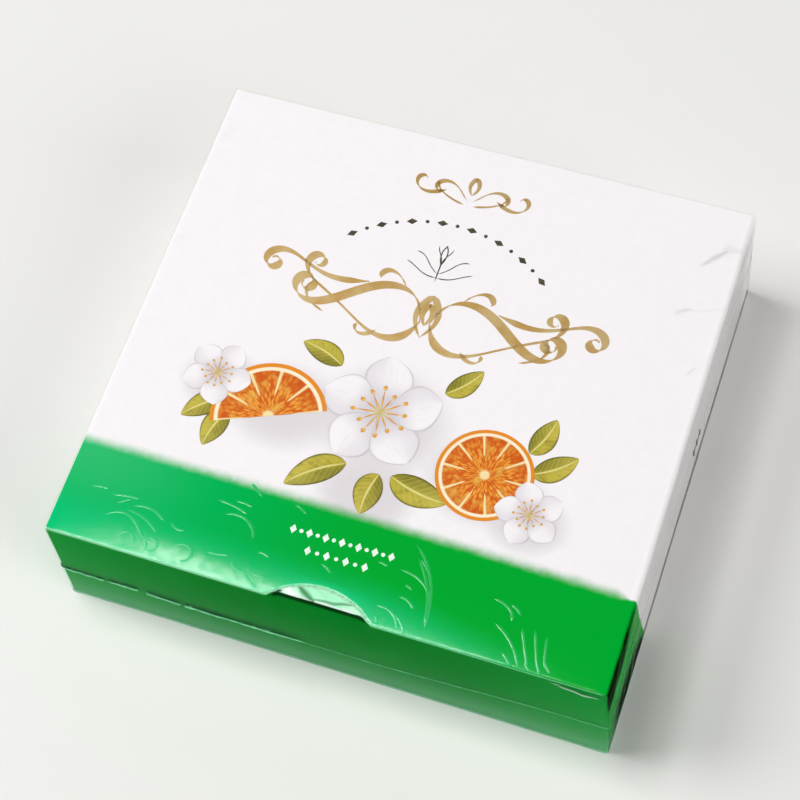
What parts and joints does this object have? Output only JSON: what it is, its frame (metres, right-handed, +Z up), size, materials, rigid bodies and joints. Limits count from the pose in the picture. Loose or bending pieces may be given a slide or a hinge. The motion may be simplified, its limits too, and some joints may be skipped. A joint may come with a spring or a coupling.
{
  "type": "shrink-wrapped confectionery carton",
  "caption": "Shut folding carton of sweets in clear shrink film, with tucked end panels, a half-moon thumb cut in the roof's front edge and a film weld round its four sides.",
  "frame": {"origin": "middle of the base, on the surface that the carton rests on", "axes": "+Z up, -Y out of the green front panel below the thumb cut, +X to the right seen from the front"},
  "size_m": [0.1664, 0.1564, 0.047],
  "materials": {
    "board_white": "clay-coated boxboard, white, gloss varnished",
    "board_green": "clay-coated boxboard, printed solid green, gloss varnished",
    "board_raw": "uncoated white board at cut edges and inside",
    "gold_foil": "hot-stamped pale gold foil, satin",
    "print_inks": "process inks of the printed ornament, gloss varnished",
    "shrink_film": "clear shrink film, gloss, with fine gathers"
  },
  "bodies": {
    "root": {"carton_body": "board_white", "front_panel": "board_green", "back_panel": "board_white", "film_weld": "shrink_film"}
  },
  "joints": []
}
